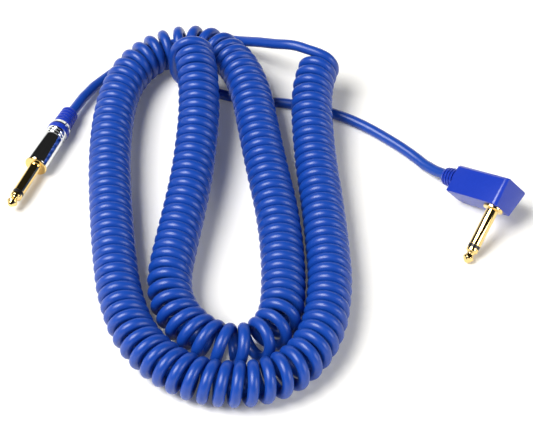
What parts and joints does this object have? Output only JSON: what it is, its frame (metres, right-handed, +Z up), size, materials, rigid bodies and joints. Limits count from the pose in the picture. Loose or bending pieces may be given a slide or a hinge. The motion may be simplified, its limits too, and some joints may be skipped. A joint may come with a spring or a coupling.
{
  "type": "instrument cable",
  "caption": "Curly audio cable laid in a loop on a table, with a straight 6.35 mm phone plug at one end and a moulded right-angle plug at the other.",
  "frame": {"origin": "on the table, below the middle of the box round the two plugs", "axes": "+Z up from the table, +X from the straight plug towards the right-angle plug, +Y away from the viewer of the picture"},
  "size_m": [0.2742, 0.2643, 0.0367],
  "materials": {
    "gold_plate": "polished gold plate",
    "chrome_plate": "polished chrome plate",
    "tinned_lug": "tinned brass strip",
    "black_insulator": "moulded black plastic",
    "blue_plug_plastic": "satin blue moulded plastic",
    "blue_jacket": "satin blue PVC",
    "clear_liner": "plain white plastic tube",
    "core_insulation": "white polyethylene",
    "bare_copper": "stranded bare copper"
  },
  "bodies": {
    "root": {"straight_tip_contact": "gold_plate", "straight_front_insulator": "black_insulator", "straight_rod_insulator": "black_insulator", "straight_sleeve": "gold_plate", "straight_ground_lug": "tinned_lug", "straight_rear_insulator": "black_insulator", "straight_tip_lug": "tinned_lug", "straight_cable_core": "core_insulation", "straight_core_wire": "bare_copper", "straight_shield_wire": "bare_copper", "angle_tip_contact": "gold_plate", "angle_front_insulator": "black_insulator", "angle_rod_insulator": "black_insulator", "angle_sleeve": "gold_plate", "angle_ground_lug": "tinned_lug", "angle_rear_insulator": "black_insulator", "angle_tip_lug": "tinned_lug", "angle_cable_core": "core_insulation", "angle_core_wire": "bare_copper", "angle_shield_wire": "bare_copper", "angle_housing": "blue_plug_plastic", "straight_lead": "blue_jacket", "coil": "blue_jacket", "angle_lead": "blue_jacket"},
    "boot": {"straight_boot": "blue_plug_plastic", "straight_liner": "clear_liner"},
    "barrel": {"straight_barrel": "chrome_plate", "grip_band": "blue_plug_plastic"}
  },
  "joints": [
    {"name": "boot_slide", "type": "slide", "parent": "root", "child": "boot", "axis": [0.3514, 0.9362, 0], "range_m": [0, 0.005]},
    {"name": "barrel_turn", "type": "hinge", "parent": "boot", "child": "barrel", "pos_m": [-0.12445, 0.00984, 0.00635], "axis": [0.3514, 0.9362, 0], "range_deg": [0, 2400]}
  ],
  "couplings": [
    {"joint": "boot_slide", "follows": "barrel_turn", "m_per_rad": 0.00011937}
  ]
}
